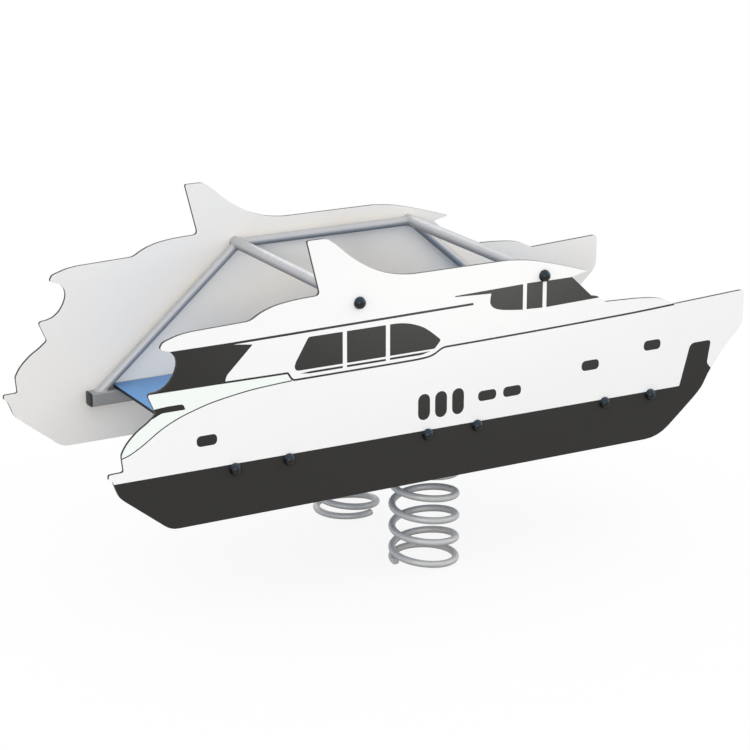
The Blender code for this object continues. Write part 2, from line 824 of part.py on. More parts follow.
def build_side_tubes(steel, pivot):
    """On each side a top tube and two diagonals, fitted round the handrails and onto the rail."""
    radius = SIDE_TUBE_DIAMETER / 2
    cutters = []
    for place, x in handrail_x.items():
        clearance = HANDRAIL_DIAMETER / 2 + SEAT
        reach = panel_inner_y + clearance
        seat = rod_mesh(f"handrail_{place}_seat", (x, -reach, handrail_z), (x, reach, handrail_z), clearance)
        cutters.append(add_cutter(seat.name, seat))
    below = block_mesh(
        "rail_top_seat",
        (-rail_length, -PANEL_GAP, rail_top_z + SEAT - 2 * RAIL_SIZE),
        (rail_length, PANEL_GAP, rail_top_z + SEAT),
    )
    rail_seat = add_cutter(below.name, below)
    for side, sign in SIDES.items():
        y = sign * rail_mid_y
        aft = Vector((handrail_x["aft"], y, handrail_z))
        fore = Vector((handrail_x["fore"], y, handrail_z))
        name = f"{side}_top_tube"
        tube = add_object(name, pipe_mesh(name, aft, fore, radius, TUBE_WALL), steel, pivot, smooth=True)
        for cutter in cutters:
            cut(tube, cutter)
        for place, top, direction in (("aft", aft, -1), ("fore", fore, 1)):
            foot = Vector((top.x + direction * diagonal_run, y, rail_top_z))
            past_rail = (foot - top).normalized() * RAIL_SIZE
            name = f"{side}_diagonal_{place}"
            mesh = pipe_mesh(name, top, foot + past_rail, radius, TUBE_WALL)
            tube = add_object(name, mesh, steel, pivot, smooth=True)
            for cutter in (*cutters, rail_seat):
                cut(tube, cutter)


def build_deck(laminate, pivot):
    """The deck plate on the rails, with blind holes for its bolts in its underside."""
    width = PANEL_GAP - 2 * DECK_SIDE_GAP
    outline = rounded_rectangle(deck_length, width, DECK_CORNER)
    loops = []
    for z in (deck_bottom_z, deck_bottom_z + DECK_THICKNESS):
        loops.append(along("Z", outline, z, (FRAME_X, 0, 0)))
    deck = add_object("deck", mesh_from_loops("deck", loops), laminate, pivot)
    for place in ("aft", "fore"):
        for side, sign in SIDES.items():
            x = bearer_x[place]
            hole = rod_mesh(
                f"deck_hole_{place}_{side}",
                (x, sign * DECK_BOLT_Y, deck_bottom_z - RAIL_WALL),
                (x, sign * DECK_BOLT_Y, deck_bottom_z + DECK_BOLT_DEPTH + SEAT),
                DECK_BOLT_DIAMETER / 2 + HOLE_CLEARANCE,
                HOLE_SIDES,
            )
            cut(deck, add_cutter(hole.name, hole))


def build_deck_bolts(steel, pivot):
    """Bolts from below, through the end bearers and into the deck."""
    head = hexagon(DECK_BOLT_HEAD_WIDTH)
    shank = circle(DECK_BOLT_DIAMETER / 2, HOLE_SIDES)
    seat = rail_bottom_z - SEAT
    levels = [
        (head, seat - DECK_BOLT_HEAD_HEIGHT),
        (head, seat),
        (shank, seat),
        (shank, deck_bottom_z + DECK_BOLT_DEPTH),
    ]
    for place in ("aft", "fore"):
        for side, sign in SIDES.items():
            origin = (bearer_x[place], sign * DECK_BOLT_Y, 0)
            loops = [along("Z", points, z, origin) for points, z in levels]
            name = f"deck_bolt_{place}_{side}"
            add_object(name, mesh_from_loops(name, loops), steel, pivot)


def rail_bolt_places():
    places = []
    for x in station_x:
        for shift in (-BOLT_PAIR_SPACING / 2, BOLT_PAIR_SPACING / 2):
            places.append((x + shift, rail_mid_z))
    return places


def panel_bolt_places():
    return rail_bolt_places() + [(x, handrail_z) for x in handrail_x.values()]


def milled_areas():
    """The milled areas, in groups within which no two areas touch."""
    areas = [path_points(HULL_BAND), path_points(COCKPIT), path_points(STERN_FLASH)]
    areas += [path_points(rows) for rows in SALOON_WINDOWS + BRIDGE_WINDOWS + SILL_STRIPS]
    for size, rounding, centres in (
        (PORTHOLE_SIZE, PORTHOLE_ROUNDING, PORTHOLE_CENTRES),
        (VENT_SIZE, VENT_ROUNDING, VENT_CENTRES),
    ):
        width, height = from_drawing(*size)
        outline = rounded_rectangle(width, height, rounding * drawing_x, CORNER_STEPS)
        for x, z in centres:
            areas.append([from_drawing(x, z) + Vector(point) for point in outline])
    return {
        "areas": areas,
        "roof_line": [ribbon(path_points(ROOF_LINE, closed=False), ROOF_LINE_WIDTH)],
        "deck_line": [ribbon(path_points(DECK_LINE, closed=False), DECK_LINE_WIDTH)],
        "sheer_line": [ribbon(path_points(SHEER_CURVE, closed=False), FINE_LINE_WIDTH)],
    }


def build_panels(laminate, pivot):
    """The two side panels, milled on their outer faces and drilled for their bolts."""
    outline = path_points(PANEL_OUTLINE)
    milling = milled_areas()
    beyond_y = panel_outer_y + PANEL_THICKNESS
    for side, sign in SIDES.items():
        name = f"{side}_panel"
        mesh = plate_mesh(name, [outline], *sorted((sign * panel_inner_y, sign * panel_outer_y)))
        panel = add_object(name, mesh, laminate, pivot)
        for n, (group, shapes) in enumerate(milling.items()):
            floor_y = panel_outer_y - MILLING_DEPTH - n * MILLING_STEP
            low, high = sorted((sign * floor_y, sign * beyond_y))
            cut(panel, add_cutter(f"{name}_{group}", plate_mesh(group, shapes, low, high)))
        for n, (x, z) in enumerate(panel_bolt_places()):
            hole = rod_mesh(
                f"{name}_hole_{n + 1}",
                (x, sign * (panel_inner_y - PANEL_THICKNESS), z),
                (x, sign * (panel_outer_y + PANEL_THICKNESS), z),
                PANEL_BOLT_DIAMETER / 2 + HOLE_CLEARANCE,
                HOLE_SIDES,
            )
            cut(panel, add_cutter(hole.name, hole))


def build_panel_bolts(plastic, pivot):
    """Bolts through the panels into rails and handrails, under round plastic caps."""
    seat = panel_outer_y + SEAT
    cap_steps = 4
    for side, sign in SIDES.items():
        for n, (x, z) in enumerate(panel_bolt_places()):
            shank = circle(PANEL_BOLT_DIAMETER / 2, ROUND_SIDES)
            levels = [(shank, panel_inner_y - PANEL_BOLT_REACH), (shank, seat)]
            for step in range(cap_steps + 1):
                rise = math.pi / 2 * step / (cap_steps + 0.5)
                reach = CAP_DIAMETER / 2 * math.cos(rise)
                levels.append((circle(reach), seat + CAP_HEIGHT * math.sin(rise)))
            loops = [along("Y", points, sign * y, (x, 0, z)) for points, y in levels]
            name = f"{side}_panel_bolt_{n + 1}"
            add_object(name, mesh_from_loops(name, loops), plastic, pivot, smooth=True)


def build():
    clear_scene()
    laminate_white = make_material("white_laminate", (0.90, 0.90, 0.89), 0.45)
    laminate_blue = make_material("blue_laminate", (0.14, 0.33, 0.60), 0.50)
    galvanised = make_material("galvanised_steel", (0.55, 0.57, 0.59), 0.42, 0.8)
    spring_paint = make_material("grey_powder_coat", (0.36, 0.37, 0.39), 0.40, 0.1)
    black_plastic = make_material("black_plastic", (0.02, 0.022, 0.025), 0.35)
    zinc_bolt = make_material("zinc_plated_steel", (0.62, 0.63, 0.64), 0.38, 0.9)

    pivot = bpy.data.objects.new("rock_pivot", None)
    pivot.location = (SPRING_X, 0, rock_axis_z)
    bpy.context.collection.objects.link(pivot)

    build_springs(spring_paint)
    build_rails(galvanised, pivot)
    build_rail_end_caps(black_plastic, pivot)
    build_bearers(galvanised, pivot)
    build_head_plates(galvanised, pivot)
    build_clamps(zinc_bolt, pivot)
    build_handrails(galvanised, pivot)
    build_side_tubes(galvanised, pivot)
    build_deck(laminate_blue, pivot)
    build_deck_bolts(zinc_bolt, pivot)
    build_panels(laminate_white, pivot)
    build_panel_bolts(black_plastic, pivot)


build()
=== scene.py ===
"""Looks of the yacht-shaped spring rider: finishes, fine wire coils, studio and camera."""

import math

import bmesh
import bpy
from mathutils import Color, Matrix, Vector


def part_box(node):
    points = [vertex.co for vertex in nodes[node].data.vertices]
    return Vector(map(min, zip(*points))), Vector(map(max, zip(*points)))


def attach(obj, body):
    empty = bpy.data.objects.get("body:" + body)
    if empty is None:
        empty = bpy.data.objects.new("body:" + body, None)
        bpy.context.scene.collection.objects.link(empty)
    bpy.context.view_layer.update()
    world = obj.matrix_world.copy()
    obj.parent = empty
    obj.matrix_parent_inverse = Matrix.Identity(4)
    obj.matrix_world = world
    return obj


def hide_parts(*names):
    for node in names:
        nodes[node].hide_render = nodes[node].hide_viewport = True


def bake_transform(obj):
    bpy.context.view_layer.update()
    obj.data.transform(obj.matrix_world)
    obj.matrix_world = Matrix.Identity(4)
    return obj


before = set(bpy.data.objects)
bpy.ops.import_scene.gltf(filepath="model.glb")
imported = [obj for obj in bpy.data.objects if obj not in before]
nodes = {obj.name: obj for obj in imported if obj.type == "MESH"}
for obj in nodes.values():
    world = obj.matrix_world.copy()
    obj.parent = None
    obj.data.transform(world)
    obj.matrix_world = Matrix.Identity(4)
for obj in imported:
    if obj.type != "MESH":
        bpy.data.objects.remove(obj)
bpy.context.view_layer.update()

X_AXIS = Vector((1, 0, 0))
Y_AXIS = Vector((0, 1, 0))
Z_AXIS = Vector((0, 0, 1))
ALONG_X = 0
ALONG_Y = 1

# Each side of the boat, with the direction that it lies in along Y
SIDES = {"starboard": -1, "port": 1}

# Lengths are in metres, and the camera stands where the photograph was taken from
CAMERA_PLACE = Vector((-3.105, -5.594, 2.479))
CAMERA_AIM = Vector((-0.0154, -0.0049, 0.4912))
CAMERA_LENS_MM = 111.9

# Gap that touching pieces keep
SEAT = 0.0003

# Coil springs
SPRING_X = 0.017
SPRING_Y = 0.233
WIRE_RADIUS = 0.010
COIL_RADIUS = 0.091
FOOT_TURNS = 0.62
RISING_TURNS = 5.91
HEAD_TURNS = 0.5
FOOT_START_DEG = {"starboard": 168.0, "port": 282.0}
LEAD_TURNS = 0.035
FOOT_FLAT = 0.002
EASE_TURNS = 0.12
WIRE_POINTS_PER_TURN = 48
WIRE_SIDES = 20

# Clamps on the springs' top turns, placed by turns from where the wire lies flat again
CLAMP_TURNS = (0.05, 0.25, 0.45)
CLAMP_WIDTH = 0.030
CLAMP_THICKNESS = 0.006
CLAMP_BEND = 0.004
CLAMP_BEND_STEPS = 6
CLAMP_TAB_REACH = 0.018
CLAMP_LIP_REACH = 0.006
CLAMP_EDGE = 0.0006

# Bolts of the clamps and of the deck
CLAMP_BOLT_FROM_AXIS = 0.050
CLAMP_BOLT_DIAMETER = 0.012
CLAMP_BOLT_HEAD_WIDTH = 0.018
CLAMP_BOLT_HEAD_HEIGHT = 0.0075
CLAMP_WASHER = 0.0020
DECK_BOLT_DIAMETER = 0.008
DECK_BOLT_HEAD_WIDTH = 0.013
DECK_WASHER = 0.0016
HEX_POINTS = 24
HEX_CHAMFER_SHARE = 0.06
HEX_HALF_SIDE_ANGLE = math.pi / 6
DISC_SIDES = 32
DISC_EDGE = 0.0004

# Side panels
DECOR_THICKNESS = 0.0003
TINTED_SPOT = (-0.700, 0.635)
FACE_TOLERANCE = 0.00002
PLACE_DIGITS = 5

# Tubes
SIDE_TUBE_RADIUS = 0.01345
TUBE_SIDES = 48
DIAGONAL_FOOT_INSET = 0.036
RAIL_CORNER = 0.005
RAIL_WALL = 0.003
CORNER_STEPS = 8

# Weld beads
WELD_RADIUS = 0.0026
WELD_SIDES = 8
WELD_RIPPLE = 0.0003
WELD_RIPPLE_PITCH = 0.0028
POINTS_PER_RIPPLE = 4
LEAST_WELD_POINTS = 8

# Bolt caps on the panels
BOLT_RADIUS = 0.005
CAP_SIDES = 48
CAP_BASE = 0.0034
CAP_EDGE = 0.0010
CAP_EDGE_STEPS = 4
CAP_GROOVE = 0.0005
CAP_COVER_INSET = 0.0012
CAP_DOME_STEPS = 14
CAP_DOME_DEG = 87.5

# Edges of the nodes that are shown as they are
PLATE_EDGE = 0.0008
RAIL_CAP_EDGE = 0.0012
DECK_EDGE = 0.0004
EDGE_SEGMENTS = 2
CORNER_GAP = 0.00001

# Angles from which an edge is rounded or stays sharp
ROUNDED_FROM_DEG = 30
CAD_SHARP_DEG = 32
SHARP_DEG = 35
TURNED_SHARP_DEG = 40
SADDLE_SHARP_DEG = 50
WELD_SHARP_DEG = 80

# What most values of one noise lie between, and of a mix of two
NOISE_SPAN = (0.3, 0.7)
TONE_SPAN = (0.2, 0.8)

# Streaky textures, in waves per metre along X, Y and Z
FIBRE_SCALE = (60.0, 900.0, 400.0)
TOOLING_SCALE = (90.0, 90.0, 700.0)
ROLLING_SCALE = (300.0, 300.0, 40.0)

# The laminate is nearly matte, and a little rougher on its core
LAMINATE_SPECULAR = 0.2
LAMINATE_ROUGHNESS = 0.42
CORE_ROUGHER_BY = 0.10
TEXTURE_SHARE = 0.6

# Painted light on the panels, in two spots that are long along X. A painted sheen makes
# their colour lighter round one place high up. Over the deck, painted shade makes the
# inner faces a little darker and warmer, against the blue light that the deck throws on them.
PAINTED_SHEEN = {"middle": (0.15, 0.90), "reach": 0.56, "peak": 1.5}
PAINTED_SHADE = {"middle": (0.04, 0.60), "reach": 0.42, "peak": 2.0}
SPOT_FLATTENING = 0.45
SPOT_FALLOFF = 2.0

# Upward share of a face's direction at which painted shade on the downward faces begins and at
# which it's full
SHADE_BELOW_SPAN = (0.3, -0.7)

# Zinc's tone comes from its crystals and from clouds
CRYSTAL_SHARE = 0.2
CLOUD_SHARE = 0.8

# The black plastics shine less than a usual gloss, and the caps carry a painted reflection of a
# blue sky, growing upwards
SATIN_BLACK_SPECULAR = 0.25
GLOSS_BLACK_SPECULAR = 0.36
CAP_PAINTED_SKY_SPAN = (0.0, 0.009)

# Surround and floor. The floor's grey is what lights the object from below, and the pale
# one is what its shadow is seen on. The shadow fades out away from the object.
WHITE = (1.0, 1.0, 1.0, 1.0)
WORLD_STRENGTH = 1.12
BACKGROUND_STRENGTH = 1.0
FLOOR_GREY = (0.50, 0.50, 0.50, 1.0)
FLOOR_PALE = (0.80, 0.80, 0.80, 1.0)
FLOOR_REACH = 60.0
SHADOW_FADE_SPAN = (0.6, 2.6)
SHADOW_WHITE_SHARES = (0.89, 1.0)

# Weak soft lamps round the object: place, length of a side, and power in watts
SOFTBOXES = {
    "front_softbox": ((-3.3, -5.0, 2.1), 0.7, 66),
    "bow_softbox": ((5.0, -2.0, 2.5), 2.0, 32),
    "back_softbox": ((1.0, 5.0, 3.0), 2.0, 36),
}
SOFTBOX_AIM = Vector((0, 0, 0.5))


class Nodes:
    """A node tree, built in a few words."""

    def __init__(self, tree):
        self.tree = tree

    def add(self, kind, inputs=None, **settings):
        """A new node, whose inputs are sockets to link or values to set."""
        node = self.tree.nodes.new(kind)
        for key, value in settings.items():
            setattr(node, key, value)
        for key, value in (inputs or {}).items():
            self.feed(node.inputs[key], value)
        return node

    def clear(self):
        """Takes out the ready-made nodes."""
        self.tree.nodes.clear()

    def feed(self, socket, value):
        """Links a node's output to an input socket, or sets the socket's value."""
        if isinstance(value, bpy.types.NodeSocket):
            self.tree.links.new(value, socket)
        else:
            socket.default_value = value

    def surface(self, inputs):
        """Feeds the sockets of a material's surface shader."""
        for key, value in inputs.items():
            self.feed(self.tree.nodes["Principled BSDF"].inputs[key], value)

    def show(self, output_kind, share, usual, background):
        """The tree's output node, fed with two shaders and the second one's share."""
        mixed = self.add("ShaderNodeMixShader", {0: share, 1: usual, 2: background})
        self.add(output_kind, {"Surface": mixed.outputs["Shader"]})

    def place(self):
        """Position in the object's own space."""
        return self.add("ShaderNodeTexCoord").outputs["Object"]

    def normal(self):
        """Direction that the surface faces, in the object's own space."""
        return self.add("ShaderNodeTexCoord").outputs["Normal"]

    def sees_background(self):
        """1 for rays that show the background: to the camera, in metal or through glass."""
        rays = self.add("ShaderNodeLightPath").outputs
        direct = self.math("MAXIMUM", rays["Is Camera Ray"], rays["Is Glossy Ray"])
        return self.math("MAXIMUM", direct, rays["Is Transmission Ray"])

    def axis(self, vector, name):
        """One part of a vector, X, Y or Z."""
        return self.add("ShaderNodeSeparateXYZ", {"Vector": vector}).outputs[name]

    def length(self, vector):
        return self.add("ShaderNodeVectorMath", {0: vector}, operation="LENGTH").outputs["Value"]

    def mapped(self, vector, scale, location=(0.0, 0.0, 0.0)):
        """A vector that is scaled, and then moved."""
        inputs = {"Vector": vector, "Location": location, "Scale": scale}
        return self.add("ShaderNodeMapping", inputs).outputs["Vector"]

    def noise(self, vector, scale=1.0, detail=4.0, roughness=0.5):
        """A soft random value at each place, mostly within NOISE_SPAN."""
        inputs = {"Vector": vector, "Scale": scale, "Detail": detail, "Roughness": roughness}
        return self.add("ShaderNodeTexNoise", inputs).outputs["Fac"]

    def cells(self, vector, scale):
        """A random value in each cell of a crystal pattern."""
        pattern = self.add("ShaderNodeTexVoronoi", {"Vector": vector, "Scale": scale})
        colour = self.add("ShaderNodeSeparateColor", {"Color": pattern.outputs["Color"]})
        return colour.outputs["Red"]

    def math(self, operation, first, second=0.0, clamp=False):
        inputs = {0: first, 1: second}
        node = self.add("ShaderNodeMath", inputs, operation=operation, use_clamp=clamp)
        return node.outputs["Value"]

    def between(self, value, span, to=(0.0, 1.0)):
        """A value carried over from one span to another, and held at the ends."""
        inputs = {
            "Value": value,
            "From Min": span[0],
            "From Max": span[1],
            "To Min": to[0],
            "To Max": to[1],
        }
        return self.add("ShaderNodeMapRange", inputs).outputs["Result"]

    def mix(self, factor, first, second, blend_type="MIX"):
        """Two colours mixed. The node's other inputs have the same names, but not the type."""
        inputs = {"Factor": factor}
        node = self.add("ShaderNodeMix", inputs, data_type="RGBA", blend_type=blend_type)
        pair = [socket for socket in node.inputs if socket.type == "RGBA"]
        self.feed(pair[0], first)
        self.feed(pair[1], second)
        return next(socket for socket in node.outputs if socket.type == "RGBA")

    def times(self, first, second):
        """Two colours multiplied."""
        return self.mix(1.0, first, second, "MULTIPLY")

    def bump(self, height, strength, distance):
        inputs = {"Height": height, "Strength": strength, "Distance": distance}
        return self.add("ShaderNodeBump", inputs).outputs["Normal"]


def rgb(red, green, blue):
    """A colour as it looks on screen, 0 to 255, for a shader."""
    linear = Color((red / 255, green / 255, blue / 255)).from_srgb_to_scene_linear()
    return (*linear, 1.0)


def new_material(name):
    """A new material, and its nodes."""
    material = bpy.data.materials.new(name)
    material.use_nodes = True
    return material, Nodes(material.node_tree)


def laminate(name, outer, inner, core, depth_axis, core_from, core_to):
    """Compact laminate: a coloured decor sheet on both faces of a dark core.

    The core shows where the distance along depth_axis lies between two values, so on
    the board's edges and on the floors of milled areas. Nearer than that is the inner
    decor, and further out the outer one. Outer decor and core are pairs of colours,
    away from the painted sheen and in the middle of it. The inner decor is a pair too,
    away from the painted shade over the deck and in it.
    """
    material, tree = new_material(name)
    place = tree.place()
    depth = tree.math("ABSOLUTE", tree.axis(place, depth_axis))
    past_low = tree.math("GREATER_THAN", depth, core_from)
    past_high = tree.math("LESS_THAN", depth, core_to)
    is_core = tree.math("MULTIPLY", past_low, past_high)

    # Painted sheen: the decor and core colours are lighter round one place high on the panels
    painted_sheen = panel_spot(tree, place, **PAINTED_SHEEN)
    # Painted shade: the inner faces are darker and warmer over the deck
    painted_shade = panel_spot(tree, place, **PAINTED_SHADE)
    decor = tree.mix(past_low, tree.mix(painted_shade, *inner), tree.mix(painted_sheen, *outer))
    cloud = tree.between(tree.noise(place, scale=3.0, detail=2.0), NOISE_SPAN, to=(0.99, 1.0))
    fibre = tree.noise(tree.mapped(place, FIBRE_SCALE), detail=3.0)
    fleck = tree.between(fibre, NOISE_SPAN, to=(0.94, 1.0))
    decor_colour = tree.times(decor, cloud)
    core_colour = tree.times(tree.mix(painted_sheen, *core), fleck)

    texture = tree.noise(place, scale=700.0, detail=3.0)
    tooling = tree.noise(tree.mapped(place, TOOLING_SCALE), detail=2.0)
    grain = tree.math("MULTIPLY", tooling, is_core)
    height = tree.math("ADD", tree.math("MULTIPLY", texture, TEXTURE_SHARE), grain)
    rougher = tree.math("MULTIPLY", is_core, CORE_ROUGHER_BY)
    tree.surface({
        "Base Color": tree.mix(is_core, decor_colour, core_colour),
        "Roughness": tree.math("ADD", rougher, LAMINATE_ROUGHNESS),
        "Normal": tree.bump(height, strength=0.12, distance=0.0003),
        "Specular IOR Level": LAMINATE_SPECULAR,
    })
    return material


def panel_spot(tree, place, middle, reach, peak):
    """How much of a soft long spot on the panels there is at a place, from 0 to 1."""
    x, z = middle
    location = (-SPOT_FLATTENING * x, 0, -z)
    offset = tree.mapped(place, (SPOT_FLATTENING, 0, 1), location)
    nearness = tree.between(tree.length(offset), (reach, 0.0))
    return tree.math("MULTIPLY", tree.math("POWER", nearness, SPOT_FALLOFF), peak, clamp=True)


def shaded_below(tree, colour, shade_tint):
    """A colour darkened and warmed on the faces that look down: painted shade."""
    below = tree.between(tree.axis(tree.normal(), "Z"), SHADE_BELOW_SPAN)
    return tree.times(colour, tree.mix(below, WHITE, shade_tint))


def galvanised_steel(name, dull, bright):
    """Hot-dip zinc, with soft crystals and cloudy patches, and painted shade on the faces that
    look down.
    """
    material, tree = new_material(name)
    place = tree.place()
    crystals = tree.math("MULTIPLY", tree.cells(place, scale=130.0), CRYSTAL_SHARE)
    clouds = tree.noise(place, scale=14.0, detail=5.0, roughness=0.6)
    tone = tree.math("ADD", crystals, tree.math("MULTIPLY", clouds, CLOUD_SHARE))
    fine = tree.noise(place, scale=900.0, detail=2.0)
    tree.surface({
        # Painted shade: the zinc is darker and warmer on the faces that look down
        "Base Color": shaded_below(tree, tree.mix(tone, dull, bright), rgb(177, 171, 160)),
        "Metallic": 0.5,
        "Roughness": tree.between(tone, TONE_SPAN, to=(0.54, 0.44)),
        "Normal": tree.bump(tree.math("ADD", fine, clouds), strength=0.06, distance=0.0003),
    })
    return material


def powder_coat():
    """Grey powder coat with the slight orange peel that it cures to."""
    material, tree = new_material("spring_paint")
    place = tree.place()
    peel = tree.noise(place, scale=260.0, detail=2.0, roughness=0.4)
    clouds = tree.noise(place, scale=9.0, detail=3.0)
    paint = tree.mix(clouds, rgb(189, 190, 191), rgb(197, 198, 199))
    tree.surface({
        # Painted shade: the paint is darker and warmer on the faces that look down
        "Base Color": shaded_below(tree, paint, rgb(202, 200, 196)),
        "Metallic": 0.25,
        "Roughness": tree.between(peel, NOISE_SPAN, to=(0.42, 0.50)),
        "Normal": tree.bump(peel, strength=0.15, distance=0.0004),
    })
    return material


def satin_black_plastic():
    """Moulded polyamide: near black, satin, with a very fine eroded texture."""
    material, tree = new_material("satin_black_plastic")
    fine = tree.noise(tree.place(), scale=1500.0, detail=2.0)
    tree.surface({
        "Base Color": tree.mix(fine, rgb(34, 35, 36), rgb(40, 41, 42)),
        "Roughness": tree.between(fine, NOISE_SPAN, to=(0.32, 0.42)),
        "Normal": tree.bump(fine, strength=0.05, distance=0.0002),
        "Specular IOR Level": SATIN_BLACK_SPECULAR,
    })
    return material


def gloss_black_plastic():
    """Polished polyamide of the bolt caps, with a painted reflection of a blue sky on its upper
    half.
    """
    material, tree = new_material("gloss_black_plastic")
    place = tree.place()
    # Painted reflection: the colour turns from black to a cold blue up the cap
    upper = tree.between(tree.axis(place, "Y"), CAP_PAINTED_SKY_SPAN)
    fine = tree.noise(place, scale=900.0, detail=2.0)
    tree.surface({
        "Base Color": tree.mix(upper, rgb(4, 4, 4), rgb(26, 42, 54)),
        "Roughness": tree.between(fine, NOISE_SPAN, to=(0.22, 0.26)),
        "Normal": tree.bump(fine, strength=0.03, distance=0.0001),
        "Specular IOR Level": GLOSS_BLACK_SPECULAR,
    })
    return material


def zinc_plate():
    """Bright zinc plate with faint rolling streaks."""
    material, tree = new_material("zinc_plated_steel")
    streaks = tree.noise(tree.mapped(tree.place(), ROLLING_SCALE), detail=3.0)
    tree.surface({
        "Base Color": tree.mix(streaks, rgb(188, 190, 192), rgb(214, 215, 212)),
        "Metallic": 0.9,
        "Roughness": tree.between(streaks, NOISE_SPAN, to=(0.30, 0.42)),
        "Normal": tree.bump(streaks, strength=0.06, distance=0.0003),
    })
    return material


def make_materials():
    """Every material, by a short name."""
    panel_low, panel_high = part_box("port_panel")
    deck_low, deck_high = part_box("deck")
    core = (panel_low.y + DECOR_THICKNESS, panel_high.y - DECOR_THICKNESS)
    deck_core = (deck_low.z + DECOR_THICKNESS, deck_high.z - DECOR_THICKNESS)
    # Painted sheen: the second colour of the white, mint and dark pairs is their colour in the
    # middle of the sheen
    white = (rgb(239, 239, 239), rgb(248, 248, 247))
    mint = (rgb(237, 243, 239), rgb(246, 251, 248))
    # The inner decor is a little darker and warmer than the outer, and more so under the painted
    # shade over the deck: painted shade, and a warm cast against the blue light off the deck
    inner = (rgb(236, 234, 231), rgb(236, 226, 211))
    dark = (rgb(45, 44, 42), rgb(81, 81, 79))
    # The deck has no painted sheen and no painted shade, so the colours in its pairs are alike
    blue = [rgb(104, 156, 212)] * 2
    black = [rgb(33, 33, 35)] * 2
    zinc = (rgb(181, 182, 184), rgb(195, 196, 198))
    # The square tubes get a darker copy of the same zinc: painted shade
    shaded_zinc = (rgb(151, 153, 156), rgb(169, 171, 174))
    return {
        "white": laminate("laminate_white", white, inner, dark, "Y", *core),
        "mint": laminate("laminate_mint", mint, inner, dark, "Y", *core),
        "blue": laminate("laminate_blue", blue, blue, black, "Z", *deck_core),
        "galvanised": galvanised_steel("galvanised_steel", *zinc),
        "galvanised_painted_shade": galvanised_steel("galvanised_painted_shade", *shaded_zinc),
        "spring": powder_coat(),
        "satin_black": satin_black_plastic(),
        "gloss_black": gloss_black_plastic(),
        "zinc": zinc_plate(),
    }


def make_piece(name, mesh, material, replaces=(), place=None, turn=None, rides=True):
    """Puts a new mesh in the scene, to stand for the nodes that it replaces.

    It rides on the rider, unless rides is false, and then it is left unattached.
    """
    mesh.materials.append(material)
    piece = bpy.data.objects.new(name, mesh)
    bpy.context.collection.objects.link(piece)
    if place:
        piece.location = place
    if turn:
        piece.rotation_euler = turn
    if rides:
        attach(piece, "rider")
    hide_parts(*replaces)
    return piece


def add_band(shape, row, following):
    """Faces from one ring to the next."""
    for n in range(len(row)):
        after = (n + 1) % len(row)
        shape.faces.new((row[n], row[after], following[after], following[n]))


def add_rings(shape, rings, joined_ends=False):
    """A closed skin over a row of rings: with capped ends, or joined from last to first."""
    rows = [[shape.verts.new(point) for point in ring] for ring in rings]
    for row, following in zip(rows, rows[1:]):
        add_band(shape, row, following)
    if joined_ends:
        add_band(shape, rows[-1], rows[0])
    else:
        shape.faces.new(rows[0][::-1])
        shape.faces.new(rows[-1])


def finish_mesh(name, shape, sharp_deg=SHARP_DEG):
    """Turns a shape into a mesh that shades smooth, apart from its sharp edges."""
    bmesh.ops.recalc_face_normals(shape, faces=shape.faces)
    mesh = bpy.data.meshes.new(name)
    shape.to_mesh(mesh)
    shape.free()
    mesh.shade_smooth()
    mesh.set_sharp_from_angle(angle=math.radians(sharp_deg))
    return mesh


def mesh_from_rings(name, rings, sharp_deg=SHARP_DEG):
    """A mesh that is one closed skin over a row of rings."""
    shape = bmesh.new()
    add_rings(shape, rings)
    return finish_mesh(name, shape, sharp_deg)


def arc(steps, degrees=90.0):
    """Angles from nothing to that many degrees, in even steps."""
    return [math.radians(degrees) * n / steps for n in range(steps + 1)]


def ring_round(centre, across, up, radius, sides):
    """Points on a circle about a centre, in the plane of two directions."""
    points = []
    for n in range(sides):
        angle = 2 * math.pi * n / sides
        points.append(centre + across * radius * math.cos(angle) + up * radius * math.sin(angle))
    return points


def tube_rings(path, radii, sides, joined_ends=False):
    """Rings along a path, each turned the least from the one before."""
    rings = []
    up = None
    last = len(path) - 1
    for n, point in enumerate(path):
        before = path[n - 1] if n > 0 or joined_ends else point
        after = path[(n + 1) % len(path)] if n < last or joined_ends else point
        forward = (after - before).normalized()
        if up is None:
            up = forward.orthogonal()
        up = (up - forward * up.dot(forward)).normalized()
        rings.append(ring_round(point, forward.cross(up), up, radii[n], sides))
    return rings


def wire_height(turn, foot_z, head_z):
    """Height of the wire's middle: flat, then rising evenly, then flat.

    Parabolas ease the two changes, each over twice EASE_TURNS.
    """
    rise = (head_z - foot_z) / RISING_TURNS
    before = FOOT_TURNS - EASE_TURNS
    after = FOOT_TURNS + EASE_TURNS
    last = FOOT_TURNS + RISING_TURNS
    if turn < before:
        return foot_z
    if turn < after:
        return foot_z + rise * (turn - before) ** 2 / (4 * EASE_TURNS)
    if turn < last - EASE_TURNS:
        return foot_z + rise * (turn - FOOT_TURNS)
    if turn < last + EASE_TURNS:
        return head_z - rise * (last + EASE_TURNS - turn) ** 2 / (4 * EASE_TURNS)
    return head_z


